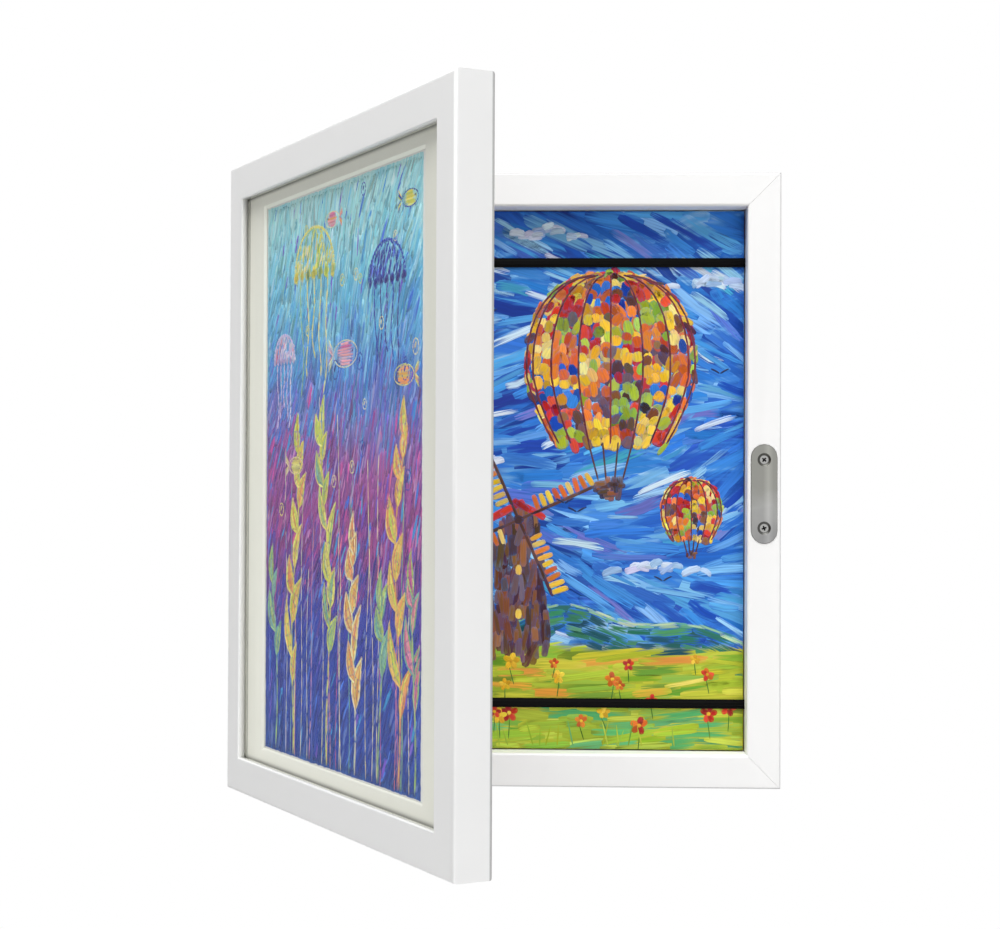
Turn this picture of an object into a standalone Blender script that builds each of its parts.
"""Front-opening children's art frame: a shallow wall box that stores drawings behind a hinged, glazed door.

X runs to the right, Y towards the wall and Z up, in metres.
The origin is the centre of the back panel's back face, which lies against the wall.
The door stands part open, and everything on it is placed as if shut and then turned by its pivot.
"""

import math

import bmesh
import bpy
from mathutils import Matrix, Vector

# Overall sizes
frame_width = 0.2900
frame_height = 0.3450
moulding_width = 0.0188
box_depth = 0.0240
door_thickness = 0.0195
seam_gap = 0.0010
door_angle = math.radians(60.8)

# Clearances shared by the whole object
fit_gap = 0.0003
mitre_gap = 0.0002
overrun = 0.0020

# Box mouldings
box_outer_round = 0.0012
box_inner_round = 0.0016
box_back_round = 0.0006
panel_rebate_width = 0.0050
panel_thickness = 0.0030

# Dowels across the box's mitres
dowel_radius = 0.0030
dowel_length = 0.0140
dowel_depth = 0.0110

# Stored sheets and the bands that hold them
art_recess = 0.0152
paper_thickness = 0.0003
sheet_side_gap = 0.0007
band_width = 0.0055
band_thickness = 0.0008
band_anchor = 0.0070
upper_band_drop = 0.0302
lower_band_rise = 0.0268

# Strike plate on the latch stile
strike_length = 0.0554
strike_width = 0.0145
strike_thickness = 0.0012
strike_proud = 0.0003
strike_drop = 0.0078
strike_screw_inset = 0.00855
strike_sink_radius = 0.00375
strike_head_below = 0.0004

# Toothed hangers sunk into the back
hanger_length = 0.0460
hanger_height = 0.0075
hanger_thickness = 0.0010
hanger_edge = 0.0020
hanger_corner_round = 0.0012
hanger_screw_inset = 0.0040
tooth_pitch = 0.0030
tooth_depth = 0.0011
tooth_arch = 0.0006
tooth_count = 8
nail_room = 0.0032
nail_pocket_depth = 0.0050
nail_pocket_rise = 0.0035

# Door mouldings
door_outer_round = 0.0020
door_sight_round = 0.0008
door_back_round = 0.0018
lip_depth = 0.0035
door_rebate_width = 0.0050

# What the door holds
holding_gap = 0.0005
glazing_thickness = 0.0012
mat_thickness = 0.0014
mat_side_margin = 0.0238
mat_end_margin = 0.0082
display_side_hold = 0.0026
display_end_hold = 0.0030
backing_thickness = 0.0030

# Turn buttons that hold the backing board
button_width = 0.0080
button_reach = 0.0140
button_thickness = 0.0015
button_inset = 0.0042
button_pocket_gap = 0.0004
button_side_inset = 0.0750

# Magnet in the door
magnet_case_length = 0.0400
magnet_case_width = 0.0100
magnet_case_depth = 0.0080
magnet_length = 0.0280
magnet_width = 0.0060
magnet_depth = 0.0050
magnet_below = 0.0002

# Butt hinges
hinge_offset = 0.0024
hinge_inset = 0.0620
leaf_length = 0.0380
leaf_width = 0.0110
leaf_thickness = 0.0010
leaf_screw_side_inset = 0.0060
leaf_screw_end_inset = 0.0065
knuckle_radius = 0.0020
knuckle_bore = 0.0011
knuckle_joint_gap = 0.0003
leaf_root = 0.00115
pin_radius = 0.0009
pin_head_radius = 0.0016
pin_head_height = 0.0007
pin_head_flat_share = 0.7

# Screws: head radius, head height, shank radius and length
strike_screw = {"head": 0.00265, "sink": 0.0010, "shank": 0.0014, "length": 0.0120}
leaf_screw = {"head": 0.0021, "sink": 0.0009, "shank": 0.0011, "length": 0.0100}
panel_screw = {"head": 0.0020, "sink": 0.0010, "shank": 0.0010, "length": 0.0090}
hanger_screw = {"head": 0.0018, "sink": 0.0008, "shank": 0.0010, "length": 0.0080}
button_screw = {"head": 0.0026, "dome": 0.0012, "shank": 0.0012, "length": 0.0080}
panel_screw_inset = 0.0500
panel_screw_below = 0.0002
recess_width_share = 0.22
recess_reach_share = 0.56
recess_depth_share = 0.55
recess_tip_share = 0.6
screw_point_share = 0.2
dome_shoulder_share = 0.5
dome_drop_share = 0.125

# How finely round shapes are divided
arc_steps = 4
end_steps = 8
round_steps = 20
screw_steps = 14

# Places worked out from the sizes above
left_edge = -frame_width / 2
right_edge = frame_width / 2
opening_width = frame_width - 2 * moulding_width
opening_height = frame_height - 2 * moulding_width
box_front = -box_depth
panel_front = -panel_thickness
door_back = box_front - seam_gap
door_front = door_back - door_thickness
hinge_axis = Vector((left_edge - hinge_offset, box_front - seam_gap / 2, 0))
glazing_front = door_front + lip_depth + fit_gap
mat_front = glazing_front + glazing_thickness + fit_gap
display_front = mat_front + mat_thickness + fit_gap
backing_front = display_front + paper_thickness + fit_gap
backing_back = backing_front + backing_thickness
held_width = opening_width + 2 * (door_rebate_width - holding_gap)
held_height = opening_height + 2 * (door_rebate_width - holding_gap)
window_width = opening_width - 2 * mat_side_margin
window_height = opening_height - 2 * mat_end_margin
display_width = window_width + 2 * display_side_hold
display_height = window_height + 2 * display_end_hold
facing_front = (math.radians(90), 0, 0)
facing_back = (math.radians(-90), 0, 0)


# Scene, collections and materials

def clear_scene():
    """Remove every object that the scene starts with."""
    for piece in list(bpy.data.objects):
        bpy.data.objects.remove(piece, do_unlink=True)


def new_collection(name):
    """Add a collection to the scene."""
    collection = bpy.data.collections.new(name)
    bpy.context.scene.collection.children.link(collection)
    return collection


def surface(name, color, roughness, metallic=0.0, alpha=1.0):
    """Make a plain Principled material."""
    material = bpy.data.materials.new(name)
    material.use_nodes = True
    shader = material.node_tree.nodes["Principled BSDF"]
    shader.inputs["Base Color"].default_value = (*color, 1.0)
    shader.inputs["Roughness"].default_value = roughness
    shader.inputs["Metallic"].default_value = metallic
    shader.inputs["Alpha"].default_value = alpha
    return material


# Meshes

def outline_mesh(outline, thickness):
    """Fill a flat outline in XY and give it a thickness that is centred on Z."""
    curve = bpy.data.curves.new("outline", "CURVE")
    curve.dimensions = "2D"
    curve.fill_mode = "BOTH"
    curve.extrude = thickness / 2
    spline = curve.splines.new("POLY")
    spline.points.add(len(outline) - 1)
    for point, place in zip(spline.points, outline):
        point.co = (place[0], place[1], 0, 1)
    spline.use_cyclic_u = True
    source = bpy.data.objects.new("outline", curve)
    bpy.context.scene.collection.objects.link(source)
    depsgraph = bpy.context.evaluated_depsgraph_get()
    mesh = bpy.data.meshes.new_from_object(source.evaluated_get(depsgraph))
    bpy.data.objects.remove(source, do_unlink=True)
    shape = bmesh.new()
    shape.from_mesh(mesh)
    bmesh.ops.remove_doubles(shape, verts=shape.verts, dist=fit_gap / 100)
    bmesh.ops.recalc_face_normals(shape, faces=shape.faces)
    shape.to_mesh(mesh)
    shape.free()
    return mesh


def rounded_outline(corners):
    """Turn corners, each an x, a y and a radius, into points with the rounded ones as arcs."""
    points = []
    for index, (x, y, radius) in enumerate(corners):
        corner = Vector((x, y))
        if radius == 0:
            points.append(corner)
            continue
        following = corners[(index + 1) % len(corners)]
        back = (Vector(corners[index - 1][:2]) - corner).normalized()
        ahead = (Vector(following[:2]) - corner).normalized()
        half = back.angle(ahead) / 2
        centre = corner + (back + ahead).normalized() * radius / math.sin(half)
        start = (corner + back * radius / math.tan(half) - centre).normalized()
        finish = (corner + ahead * radius / math.tan(half) - centre).normalized()
        for step in range(arc_steps + 1):
            points.append(centre + start.slerp(finish, step / arc_steps) * radius)
    return points


def stadium_outline(length, width):
    """A slot shape with half-round ends, its length along Y."""
    radius = width / 2
    straight = length / 2 - radius
    points = []
    for end in (1, -1):
        for step in range(end_steps + 1):
            angle = math.pi * step / end_steps
            points.append((end * radius * math.cos(angle), end * (straight + radius * math.sin(angle))))
    return points


def block_mesh(width, depth, height):
    """A box centred on the origin."""
    mesh = bpy.data.meshes.new("block")
    shape = bmesh.new()
    bmesh.ops.create_cube(shape, size=1)
    bmesh.ops.scale(shape, verts=shape.verts, vec=(width, depth, height))
    shape.to_mesh(mesh)
    shape.free()
    return mesh


def rod_mesh(radius, length, top_radius=None):
    """A cylinder or cone along Z, centred on the origin.

    Its faces are triangles, because a four-sided one that is turned to a slant isn't exactly flat,
    and two cuts that meet in it could leave a crack.
    """
    mesh = bpy.data.meshes.new("rod")
    shape = bmesh.new()
    upper = radius if top_radius is None else top_radius
    bmesh.ops.create_cone(
        shape, cap_ends=True, segments=round_steps, radius1=radius, radius2=upper, depth=length)
    bmesh.ops.triangulate(shape, faces=shape.faces)
    shape.to_mesh(mesh)
    shape.free()
    return mesh


def turned_mesh(profile):
    """Turn a profile, read from its top down its outer side, about Z."""
    mesh = bpy.data.meshes.new("turned")
    shape = bmesh.new()
    points = [shape.verts.new((radius, 0, height)) for radius, height in profile]
    for first, second in zip(points, points[1:]):
        shape.edges.new((first, second))
    shape.to_mesh(mesh)
    shape.free()
    source = bpy.data.objects.new("turned", mesh)
    bpy.context.scene.collection.objects.link(source)
    turn = source.modifiers.new("turn", "SCREW")
    turn.steps = screw_steps
    turn.render_steps = screw_steps
    turn.use_merge_vertices = True
    turn.merge_threshold = fit_gap / 100
    return finished_mesh(source)


def finished_mesh(source):
    """Take an object's mesh with its modifiers applied, and remove the object."""
    depsgraph = bpy.context.evaluated_depsgraph_get()
    mesh = bpy.data.meshes.new_from_object(source.evaluated_get(depsgraph))
    bpy.data.objects.remove(source, do_unlink=True)
    return mesh


def moulding_mesh(section, length, outer):
    """Run a section along X with mitred ends; outer is the height of its outer edge above the centre."""
    mesh = outline_mesh(section, length)
    for vertex in mesh.vertices:
        across, depth, along = vertex.co
        reach = length / 2 - across - mitre_gap / math.sqrt(2)
        vertex.co = (math.copysign(reach, along), depth, outer - across)
    return mesh


# Placing, cutting and joining

def place(piece, point, turn=(0, 0, 0), on_door=False):
    """Put a piece at a point of the shut frame; a piece on the door then swings with its pivot."""
    piece.rotation_euler = turn
    piece.location = Vector(point)
    if on_door:
        piece.parent = door_pivot
        piece.location = Vector(point) - hinge_axis


def part(name, mesh, material, point, turn=(0, 0, 0), on_door=False, smooth=False):
    """Add a named piece of the frame."""
    piece = bpy.data.objects.new(name, mesh)
    parts.objects.link(piece)
    mesh.materials.clear()
    mesh.materials.append(material)
    if smooth:
        mesh.shade_smooth()
        mesh.set_sharp_from_angle(angle=math.radians(35))
    place(piece, point, turn, on_door)
    return piece


def cutter(name, mesh, point, turn=(0, 0, 0), on_door=False):
    """Add a tool that is not part of the frame."""
    tool = bpy.data.objects.new(name, mesh)
    cutters.objects.link(tool)
    tool.hide_render = True
    tool.display_type = "WIRE"
    place(tool, point, turn, on_door)
    return tool


def combine(piece, tool, operation="DIFFERENCE"):
    """Cut a tool out of a piece, or join it on."""
    modifier = piece.modifiers.new(tool.name, "BOOLEAN")
    modifier.operation = operation
    modifier.solver = "EXACT"
    modifier.object = tool


def block_cutter(name, low, high, on_door=False):
    """Add a box-shaped tool between two corners."""
    size = Vector(high) - Vector(low)
    middle = (Vector(high) + Vector(low)) / 2
    return cutter(name, block_mesh(*size), middle, on_door=on_door)


def block_part(name, low, high, material, on_door=False):
    """Add a box-shaped piece between two corners."""
    size = Vector(high) - Vector(low)
    middle = (Vector(high) + Vector(low)) / 2
    return part(name, block_mesh(*size), material, middle, on_door=on_door)


# Screws

def cross_recess_mesh(head_radius, depth):
    """The cross-shaped hollow in a screw's head."""
    arm = head_radius * recess_reach_share
    half = head_radius * recess_width_share / 2
    tip = half * recess_tip_share
    outline = []
    for quarter in range(4):
        angle = math.pi / 2 * quarter
        for corner in ((arm, -tip), (arm, tip), (half, half)):
            outline.append(Matrix.Rotation(angle, 2) @ Vector(corner))
    return outline_mesh(outline, 2 * depth)


def screw_mesh(size):
    """A cross-head wood screw along Z, with the top of its head at the origin."""
    point = size["length"] * screw_point_share
    if "dome" in size:
        shoulder = (size["head"] * dome_shoulder_share, -size["dome"] * dome_drop_share)
        top = [(0, 0), shoulder, (size["head"], -size["dome"] / 2)]
        seat = size["dome"]
        rim = [(size["head"], -seat), (size["shank"], -seat)]
    else:
        top = [(0, 0), (size["head"], 0)]
        seat = size["sink"]
        rim = [(size["shank"], -seat)]
    tip = [(size["shank"], point - seat - size["length"]), (0, -seat - size["length"])]
    source = bpy.data.objects.new("screw", turned_mesh(top + rim + tip))
    bpy.context.scene.collection.objects.link(source)
    tool = cutter("cross recess", cross_recess_mesh(size["head"], seat * recess_depth_share), (0, 0, 0))
    combine(source, tool)
    mesh = finished_mesh(source)
    bpy.data.objects.remove(tool, do_unlink=True)
    return mesh


def screw(name, size, mesh, seat, turn, woods, on_door=False):
    """Add a screw whose head's top is at seat, and bore its hole in the pieces that it grips."""
    part(name, mesh, steel, seat, turn, on_door, smooth=True)
    outward = Vector((0, -1, 0)) if turn == facing_front else Vector((0, 1, 0))
    head = size["dome"] if "dome" in size else size["sink"]
    length = size["length"] + head + fit_gap
    bore = rod_mesh(size["shank"] + fit_gap, length)
    middle = Vector(seat) - outward * length / 2
    tool = cutter(name + " bore", bore, middle, turn, on_door)
    for wood in woods:
        combine(wood, tool)


def sink(plate, name, size, seat, turn, mouth_radius, mouth_depth, on_door=False):
    """Countersink a plate for a screw; the mouth is where the cone meets the plate's face."""
    outward = Vector((0, -1, 0)) if turn == facing_front else Vector((0, 1, 0))
    bottom_radius = size["shank"] + fit_gap
    depth = mouth_depth + size["sink"]
    slope = (mouth_radius - bottom_radius) / depth
    top_radius = mouth_radius + slope * overrun
    cone = rod_mesh(bottom_radius, depth + overrun, top_radius)
    middle = Vector(seat) + outward * (mouth_depth + overrun - (depth + overrun) / 2)
    combine(plate, cutter(name + " sink", cone, middle, turn, on_door))


# Box

def box_section():
    """The box moulding's section: across from the outer edge, and back from the front face."""
    rebate = moulding_width - panel_rebate_width
    floor = box_depth - panel_thickness - fit_gap
    return rounded_outline([
        (0, 0, box_outer_round),
        (moulding_width, 0, box_inner_round),
        (moulding_width, floor, 0),
        (rebate, floor, 0),
        (rebate, box_depth, 0),
        (0, box_depth, box_back_round),
    ])


def mitred_frame(prefix, section, front, material, on_door=False):
    """Four mitred mouldings round the opening; returns them by side."""
    sides = {
        "top_rail": (frame_width, frame_height / 2, 0),
        "latch_stile": (frame_height, frame_width / 2, 90),
        "bottom_rail": (frame_width, frame_height / 2, 180),
        "hinge_stile": (frame_height, frame_width / 2, 270),
    }
    members = {}
    for side, (length, outer, turn) in sides.items():
        mesh = moulding_mesh(section, length, outer)
        spin = (0, math.radians(turn), 0)
        members[side] = part(prefix + side, mesh, material, (0, front, 0), spin, on_door, smooth=True)
    return members


def corner_dowels(members):
    """A dowel across each mitre of the box, let half its length into each moulding."""
    across = moulding_width / 2
    for up, rail in ((1, "top_rail"), (-1, "bottom_rail")):
        for right, stile in ((1, "latch_stile"), (-1, "hinge_stile")):
            side = ("top" if up > 0 else "bottom") + ("_right" if right > 0 else "_left")
            x = right * (frame_width / 2 - across)
            point = (x, box_front + dowel_depth, up * (frame_height / 2 - across))
            turn = (0, math.radians(-45 * up * right), 0)
            dowel = rod_mesh(dowel_radius, dowel_length)
            part("corner_dowel_" + side, dowel, pale_wood, point, turn, smooth=True)
            hole = rod_mesh(dowel_radius + fit_gap, dowel_length + 2 * fit_gap)
            tool = cutter("dowel hole " + side, hole, point, turn)
            combine(members[rail], tool)
            combine(members[stile], tool)


def back_panel(members):
    """The panel that closes the box, let into the rebate and screwed to the rails."""
    half_width = opening_width / 2 + panel_rebate_width - fit_gap
    half_height = opening_height / 2 + panel_rebate_width - fit_gap
    panel = block_part(
        "back_panel", (-half_width, panel_front, -half_height), (half_width, 0, half_height), board)
    mesh = screw_mesh(panel_screw)
    for up, rail in ((1, "top_rail"), (-1, "bottom_rail")):
        for right in (1, -1):
            side = ("top" if up > 0 else "bottom") + ("_right" if right > 0 else "_left")
            name = "back_panel_screw_" + side
            height = up * (opening_height / 2 + panel_rebate_width / 2)
            seat = (right * (frame_width / 2 - panel_screw_inset), -panel_screw_below, height)
            mouth = panel_screw["head"] + fit_gap
            sink(panel, name, panel_screw, seat, facing_back, mouth, panel_screw_below)
            screw(name, panel_screw, mesh, seat, facing_back, (panel, members[rail]))


def stored_drawings():
    """The stack of sheets kept in the box, and the one in front of it."""
    half_width = opening_width / 2 - sheet_side_gap
    half_height = opening_height / 2 - sheet_side_gap
    front = box_front + art_recess
    block_part(
        "stored_front_sheet", (-half_width, front, -half_height),
        (half_width, front + paper_thickness, half_height), painted_paper)
    block_part(
        "stored_sheets", (-half_width, front + paper_thickness + fit_gap, -half_height),
        (half_width, panel_front - fit_gap, half_height), paper)


def elastic_bands(members):
    """Two flat bands across the stored sheets, with their ends held in slots in the stiles."""
    back = box_front + art_recess - fit_gap
    half_length = opening_width / 2 + band_anchor
    heights = {
        "elastic_band_upper": opening_height / 2 - upper_band_drop,
        "elastic_band_lower": lower_band_rise - opening_height / 2,
    }
    for name, height in heights.items():
        low = Vector((-half_length, back - band_thickness, height - band_width / 2))
        high = Vector((half_length, back, height + band_width / 2))
        block_part(name, low, high, elastic)
        room = Vector((fit_gap, fit_gap, fit_gap))
        tool = block_cutter(name + " slot", low - room, high + room)
        combine(members["hinge_stile"], tool)
        combine(members["latch_stile"], tool)


def strike_plate(stile):
    """The steel plate that the door's magnet meets, let into the latch stile."""
    x = right_edge - moulding_width / 2
    face = box_front - strike_proud
    middle = (x, face + strike_thickness / 2, -strike_drop)
    outline = stadium_outline(strike_length, strike_width)
    plate = part(
        "strike_plate", outline_mesh(outline, strike_thickness), nickel, middle, facing_front, smooth=True)
    mortise = stadium_outline(strike_length + 2 * fit_gap, strike_width + 2 * fit_gap)
    bottom = face + strike_thickness + fit_gap
    depth = bottom - box_front + overrun
    tool = outline_mesh(mortise, depth)
    combine(stile, cutter("strike mortise", tool, (x, bottom - depth / 2, -strike_drop), facing_front))
    mesh = screw_mesh(strike_screw)
    for up, label in ((1, "upper"), (-1, "lower")):
        name = "strike_screw_" + label
        height = up * (strike_length / 2 - strike_screw_inset) - strike_drop
        seat = (x, face + strike_head_below, height)
        sink(plate, name, strike_screw, seat, facing_front, strike_sink_radius, strike_head_below)
        screw(name, strike_screw, mesh, seat, facing_front, (plate, stile))


def hanger_outline():
    """A plate with teeth along its lower edge, which arches up so that the frame centres itself."""
    half = hanger_length / 2
    low = -hanger_height / 2
    toothed = tooth_count * tooth_pitch / 2
    corners = [(half, low, hanger_corner_round), (half, -low, hanger_corner_round)]
    corners += [(-half, -low, hanger_corner_round), (-half, low, hanger_corner_round)]
    for step in range(2 * tooth_count + 1):
        x = step * tooth_pitch / 2 - toothed
        arch = tooth_arch * (1 - (x / toothed) ** 2)
        corners.append((x, low + arch + tooth_depth * (step % 2), 0))
    return rounded_outline(corners)


def hanger(name, member, spin):
    """A toothed hanger in a pocket of one moulding; spin turns it from the top rail to that moulding."""
    outer = frame_height / 2 if spin == 0 else frame_width / 2
    upright = Vector((0, 0, 1)) if spin == 0 else Vector((-1, 0, 0))
    along = Vector((1, 0, 0)) if spin == 0 else Vector((0, 0, 1))
    turn = (facing_back[0], math.radians(spin), 0)
    flip = (facing_back[0], math.radians(spin + 180), 0)
    middle = upright * (outer - hanger_edge - hanger_height / 2)
    plate_back = -fit_gap
    depth = Vector((0, plate_back - hanger_thickness / 2, 0))
    mesh = outline_mesh(hanger_outline(), hanger_thickness)
    plate = part(name, mesh, steel, middle + depth, flip, smooth=True)
    top = outer - hanger_edge
    bottom = top - hanger_height
    shallow = fit_gap - plate_back + hanger_thickness
    toothed = tooth_count * tooth_pitch
    pockets = (
        ("plate", hanger_length + 2 * fit_gap, bottom - fit_gap, top + fit_gap, shallow),
        ("nail", toothed + nail_room, bottom - nail_room, bottom + nail_pocket_rise, nail_pocket_depth),
    )
    for label, length, lower, upper, pocket_depth in pockets:
        tool = block_mesh(length, upper - lower, pocket_depth + overrun)
        point = upright * (lower + upper) / 2 + Vector((0, overrun / 2 - pocket_depth / 2, 0))
        combine(member, cutter(name + " " + label + " pocket", tool, point, turn))
    mesh = screw_mesh(hanger_screw)
    for side, label in ((1, "right"), (-1, "left")):
        screw_name = name + "_screw_" + label
        seat = middle + along * side * (hanger_length / 2 - hanger_screw_inset) + Vector((0, plate_back, 0))
        mouth = hanger_screw["head"] + fit_gap
        sink(plate, screw_name, hanger_screw, seat, facing_back, mouth, 0)
        screw(screw_name, hanger_screw, mesh, seat, facing_back, (plate, member))


# Door

def door_section():
    """The door moulding's section: across from the outer edge, and back from the front face."""
    rebate = moulding_width - door_rebate_width
    return rounded_outline([
        (0, 0, door_outer_round),
        (moulding_width, 0, door_sight_round),
        (moulding_width, lip_depth, 0),
        (rebate, lip_depth, 0),
        (rebate, door_thickness, 0),
        (0, door_thickness, door_back_round),
    ])


def held_sheet(name, front, thickness, material, width=None, height=None):
    """A flat layer in the door's rebate."""
    half_width = (width or held_width) / 2
    half_height = (height or held_height) / 2
    low = (-half_width, front, -half_height)
    high = (half_width, front + thickness, half_height)
    return block_part(name, low, high, material, on_door=True)


def mat_board():
    """The mat, with a window whose edges slope outward to the front."""
    mat = held_sheet("mat", mat_front, mat_thickness, mat_card)
    depth = mat_thickness + 2 * overrun
    mesh = block_mesh(window_width, depth, window_height)
    for vertex in mesh.vertices:
        slope = overrun if vertex.co.y > 0 else -mat_thickness - overrun
        vertex.co.x -= slope * math.copysign(1, vertex.co.x)
        vertex.co.z -= slope * math.copysign(1, vertex.co.z)
    middle = (0, mat_front + mat_thickness / 2, 0)
    combine(mat, cutter("mat window", mesh, middle, on_door=True))


def turn_button(name, rail, x, up):
    """A turn button on a rail, pointing inward over the backing board, and its screw."""
    across = moulding_width - door_rebate_width - button_inset
    height = up * (frame_height / 2 - across)
    front = backing_back + fit_gap
    pivot = Vector((x, front + button_thickness / 2, height))
    outline = []
    for place_x, place_y in stadium_outline(button_reach + button_width / 2, button_width):
        outline.append((place_x, place_y + (button_reach - button_width / 2) / 2))
    turn = (facing_back[0], math.radians(90 - 90 * up), 0)
    button = part(name, outline_mesh(outline, button_thickness), nickel, pivot, turn, True, smooth=True)
    hole = rod_mesh(button_screw["shank"] + fit_gap, button_thickness + 2 * overrun)
    combine(button, cutter(name + " hole", hole, pivot, facing_back, True))
    half = button_reach + button_pocket_gap
    outer = height + up * (button_width / 2 + button_pocket_gap)
    inner = height - up * (button_inset + overrun)
    low = (x - half, backing_back, min(outer, inner))
    high = (x + half, door_back + overrun, max(outer, inner))
    combine(rail, block_cutter(name + " pocket", low, high, on_door=True))
    top = front + button_thickness + fit_gap + button_screw["dome"]
    screw(name + "_screw", button_screw, button_screw_mesh, (x, top, height), facing_back, (rail,), True)


def magnet(stile):
    """The magnet and its case, let into the back of the door's latch stile."""
    x = right_edge - (moulding_width - door_rebate_width) / 2
    case_back = door_back - magnet_below
    outline = stadium_outline(magnet_case_length, magnet_case_width)
    middle = (x, case_back - magnet_case_depth / 2, -strike_drop)
    mesh = outline_mesh(outline, magnet_case_depth)
    case = part("magnet_case", mesh, black_plastic, middle, facing_back, True, smooth=True)
    mortise = stadium_outline(magnet_case_length + 2 * fit_gap, magnet_case_width + 2 * fit_gap)
    bottom = case_back - magnet_case_depth - fit_gap
    depth = door_back - bottom + overrun
    tool = outline_mesh(mortise, depth)
    combine(stile, cutter("magnet mortise", tool, (x, bottom + depth / 2, -strike_drop), facing_back, True))
    low = Vector((x - magnet_width / 2, case_back - magnet_depth, -strike_drop - magnet_length / 2))
    high = Vector((x + magnet_width / 2, case_back, -strike_drop + magnet_length / 2))
    block_part("magnet", low, high, dark_metal, on_door=True)
    room = Vector((fit_gap, fit_gap, fit_gap))
    pocket_high = high + room
    pocket_high.y = case_back + overrun
    combine(case, block_cutter("magnet pocket", low - room, pocket_high, on_door=True))


# Hinges

def hinge_leaf(name, height, side, knuckles, on_door):
    """A leaf with its knuckles; side is 1 for the leaf behind the axis and -1 for the one in front."""
    near = seam_gap / 2
    low = (hinge_axis.x + leaf_root, hinge_axis.y + min(side * near, side * (near + leaf_thickness)))
    high = (left_edge + leaf_width, hinge_axis.y + max(side * near, side * (near + leaf_thickness)))
    leaf = block_part(
        name, (*low, height - leaf_length / 2), (*high, height + leaf_length / 2), nickel, on_door)
    for index, (bottom, top) in enumerate(knuckles):
        ring = rod_mesh(knuckle_radius, top - bottom)
        point = (hinge_axis.x, hinge_axis.y, height + (top + bottom) / 2)
        combine(leaf, cutter(f"{name} knuckle {index + 1}", ring, point, on_door=on_door), "UNION")
    return leaf


def hinge(label, height, box_stile, door_stile):
    """A butt hinge: two leaves let into the stiles, and a pin in their knuckles outside the frame's edge."""
    half = leaf_length / 2
    third = leaf_length / 6
    outer_knuckles = ((-half, -third - knuckle_joint_gap / 2), (third + knuckle_joint_gap / 2, half))
    middle_knuckle = ((knuckle_joint_gap / 2 - third, third - knuckle_joint_gap / 2),)
    axis = (hinge_axis.x, hinge_axis.y, height)
    kinds = (
        ("box_leaf", 1, outer_knuckles, middle_knuckle, box_stile, facing_front, False),
        ("door_leaf", -1, middle_knuckle, outer_knuckles, door_stile, facing_back, True),
    )
    for kind, side, own, other, stile, turn, on_door in kinds:
        name = f"{label}_hinge_{kind}"
        leaf = hinge_leaf(name, height, side, own, on_door)
        bore = rod_mesh(knuckle_bore, leaf_length + 2 * overrun)
        combine(leaf, cutter(name + " bore", bore, axis, on_door=on_door))
        for index, (bottom, top) in enumerate(other):
            room = rod_mesh(knuckle_radius + knuckle_joint_gap, top - bottom + 2 * knuckle_joint_gap)
            point = (axis[0], axis[1], height + (top + bottom) / 2)
            combine(leaf, cutter(f"{name} room {index + 1}", room, point, on_door=on_door))
        near = hinge_axis.y + side * (seam_gap / 2 - overrun)
        far = hinge_axis.y + side * (seam_gap / 2 + leaf_thickness + fit_gap)
        low = (left_edge - overrun, min(near, far), height - half - fit_gap)
        high = (left_edge + leaf_width + fit_gap, max(near, far), height + half + fit_gap)
        combine(stile, block_cutter(name + " mortise", low, high, on_door))
        face = hinge_axis.y + side * seam_gap / 2
        for up, place_name in ((1, "upper"), (-1, "lower")):
            screw_name = f"{name}_screw_{place_name}"
            screw_height = height + up * (half - leaf_screw_end_inset)
            seat = (left_edge + leaf_screw_side_inset, face, screw_height)
            sink(leaf, screw_name, leaf_screw, seat, turn, leaf_screw["head"] + fit_gap, 0, on_door)
            screw(screw_name, leaf_screw, leaf_screw_mesh, seat, turn, (leaf, stile), on_door)
    head = half + fit_gap
    profile = [
        (0, head + pin_head_height),
        (pin_head_radius * pin_head_flat_share, head + pin_head_height),
        (pin_head_radius, head + pin_head_height / 2),
        (pin_head_radius, head),
        (pin_radius, head),
    ]
    mirrored = [(radius, -place_z) for radius, place_z in reversed(profile)]
    part(label + "_hinge_pin", turned_mesh(profile + mirrored), nickel, axis, smooth=True)


clear_scene()
parts = new_collection("childrens_art_frame")
cutters = new_collection("cutters")

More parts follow.
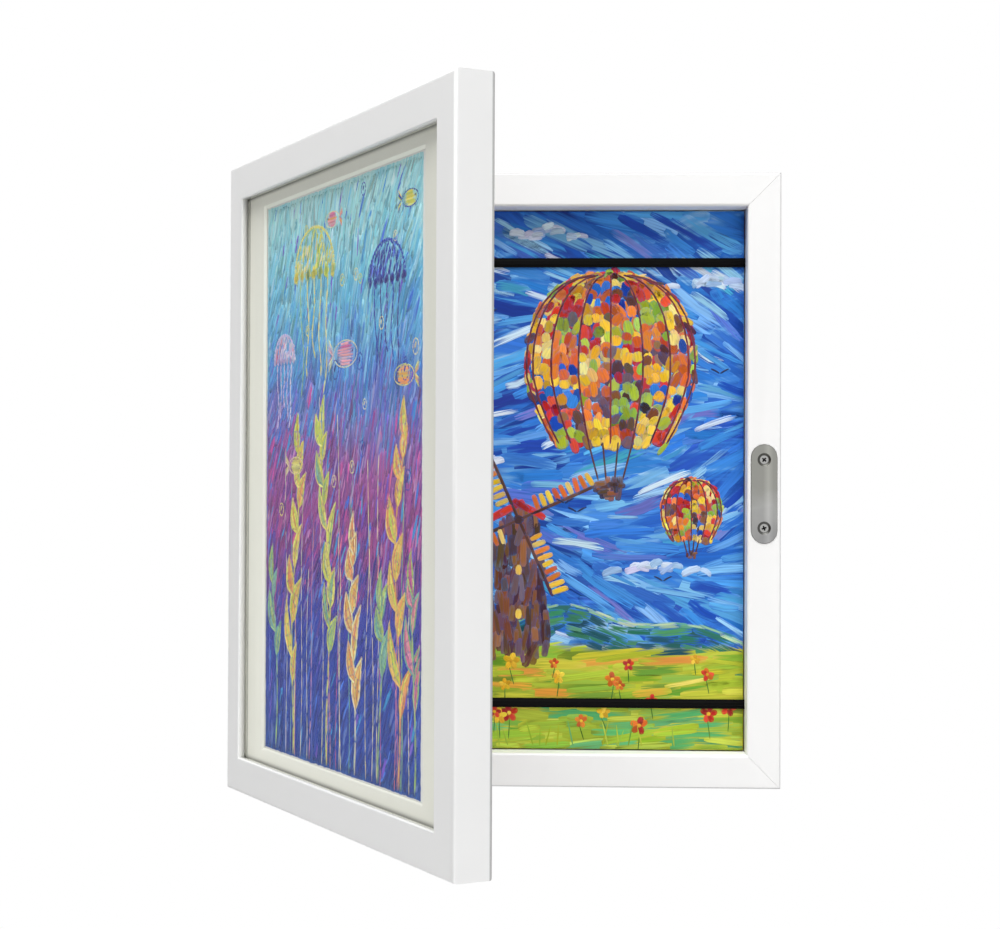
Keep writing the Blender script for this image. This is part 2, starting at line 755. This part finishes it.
white_paint = surface("white_paint", (0.88, 0.88, 0.87), 0.42)
door_paint = surface("door_paint", (0.88, 0.88, 0.87), 0.42)
pale_wood = surface("pale_wood", (0.72, 0.55, 0.36), 0.65)
board = surface("board", (0.42, 0.29, 0.18), 0.75)
paper = surface("paper", (0.86, 0.85, 0.80), 0.85)
painted_paper = surface("painted_paper", (0.30, 0.50, 0.72), 0.80)
drawn_paper = surface("drawn_paper", (0.22, 0.36, 0.66), 0.85)
mat_card = surface("mat_card", (0.84, 0.83, 0.76), 0.90)
elastic = surface("elastic", (0.02, 0.02, 0.02), 0.80)
nickel = surface("nickel", (0.56, 0.55, 0.53), 0.32, metallic=1.0)
steel = surface("steel", (0.60, 0.60, 0.60), 0.30, metallic=1.0)
dark_metal = surface("dark_metal", (0.10, 0.10, 0.11), 0.45, metallic=0.8)
black_plastic = surface("black_plastic", (0.03, 0.03, 0.03), 0.50)
clear_acrylic = surface("clear_acrylic", (0.95, 0.97, 0.97), 0.05, alpha=0.2)

door_pivot = bpy.data.objects.new("door_pivot", None)
parts.objects.link(door_pivot)
door_pivot.location = hinge_axis
door_pivot.rotation_euler = (0, 0, -door_angle)

leaf_screw_mesh = screw_mesh(leaf_screw)
button_screw_mesh = screw_mesh(button_screw)

box = mitred_frame("box_", box_section(), box_front, white_paint)
corner_dowels(box)
back_panel(box)
stored_drawings()
elastic_bands(box)
strike_plate(box["latch_stile"])
hanger("portrait_hanger", box["top_rail"], 0)
hanger("landscape_hanger", box["hinge_stile"], -90)

door = mitred_frame("door_", door_section(), door_front, door_paint, on_door=True)
held_sheet("glazing", glazing_front, glazing_thickness, clear_acrylic)
mat_board()
held_sheet("display_sheet", display_front, paper_thickness, drawn_paper, display_width, display_height)
held_sheet("door_backing", backing_front, backing_thickness, board)
for up, rail_name, level in ((1, "top_rail", "upper"), (-1, "bottom_rail", "lower")):
    for right, side_name in ((-1, "left"), (1, "right")):
        x = right * (frame_width / 2 - button_side_inset)
        turn_button(f"turn_button_{level}_{side_name}", door[rail_name], x, up)
magnet(door["latch_stile"])

for up, hinge_name in ((1, "upper"), (-1, "lower")):
    hinge(hinge_name, up * (frame_height / 2 - hinge_inset), box["hinge_stile"], door["hinge_stile"])
